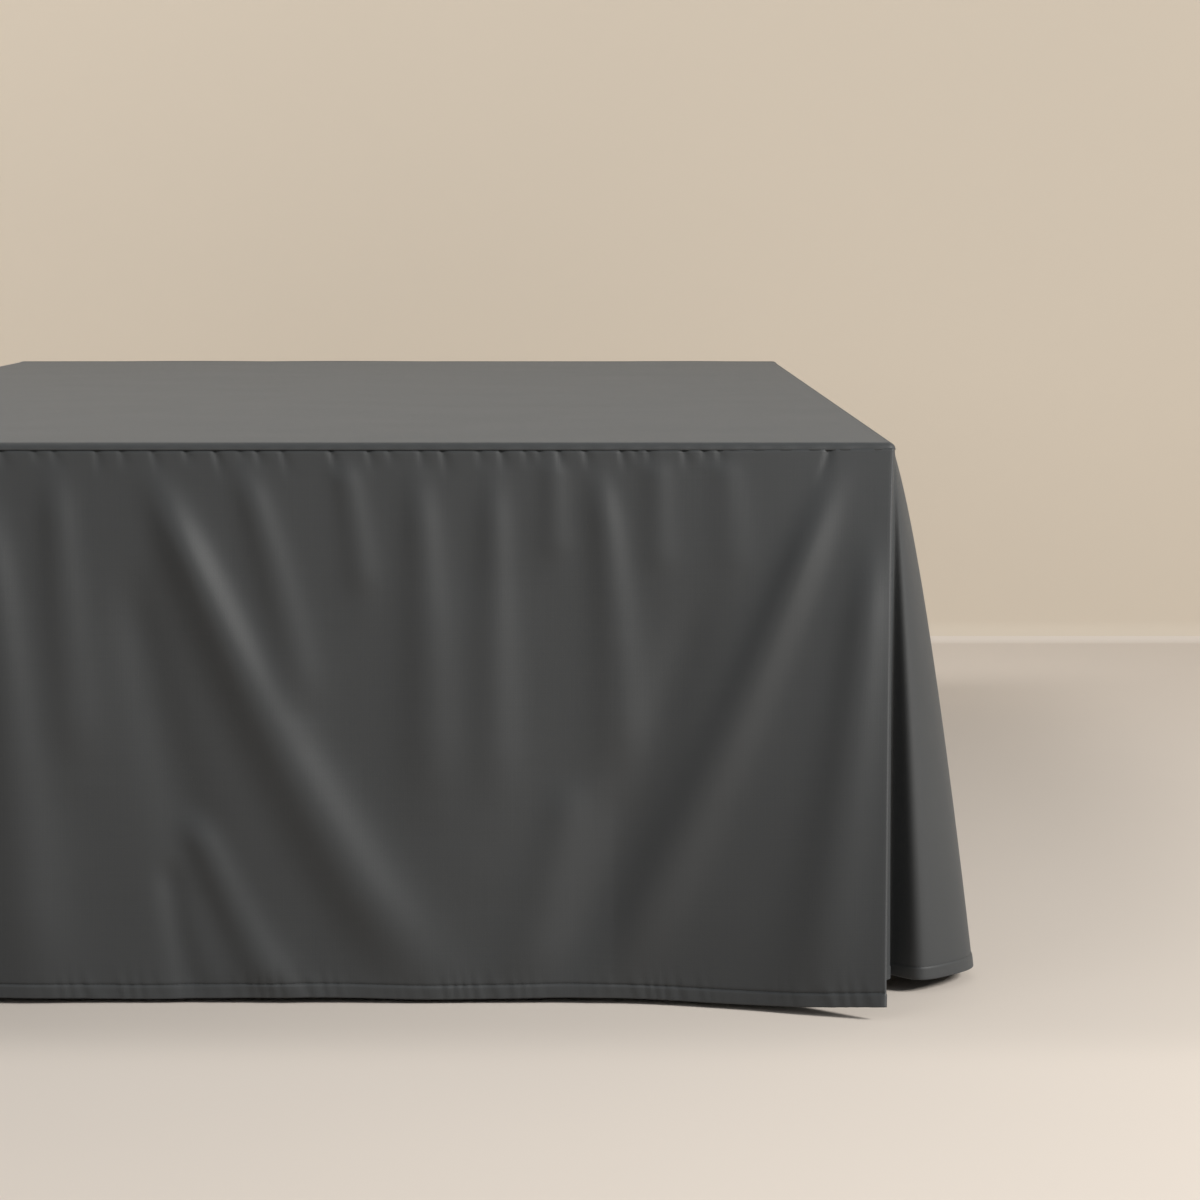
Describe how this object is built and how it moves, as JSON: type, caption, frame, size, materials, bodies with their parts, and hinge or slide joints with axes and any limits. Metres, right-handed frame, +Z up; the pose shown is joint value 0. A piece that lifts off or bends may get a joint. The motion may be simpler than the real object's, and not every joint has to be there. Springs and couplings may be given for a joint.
{
  "type": "bed skirt on a divan base",
  "caption": "Three-sided fabric bed skirt in plain dark slate, with folded corner pleats, hanging from a flat platform over a plain single divan base.",
  "frame": {"origin": "on the floor, under the centre of the whole object's box", "axes": "+X across the bed, +Y from the foot panel towards the head end, +Z up"},
  "size_m": [1.0444, 1.9787, 0.406],
  "materials": {
    "skirt_cloth": "smooth plain-woven polycotton with a slight satin sheen",
    "base_cloth": "plain upholstery cloth",
    "leg": "dark stained, satin"
  },
  "bodies": {
    "root": {"bed_base": "base_cloth", "leg_foot_right": "leg", "leg_foot_left": "leg", "leg_middle_right": "leg", "leg_middle_left": "leg", "leg_head_right": "leg", "leg_head_left": "leg", "platform": "skirt_cloth", "foot_panel": "skirt_cloth", "side_panel_right": "skirt_cloth", "side_panel_left": "skirt_cloth"}
  },
  "joints": []
}
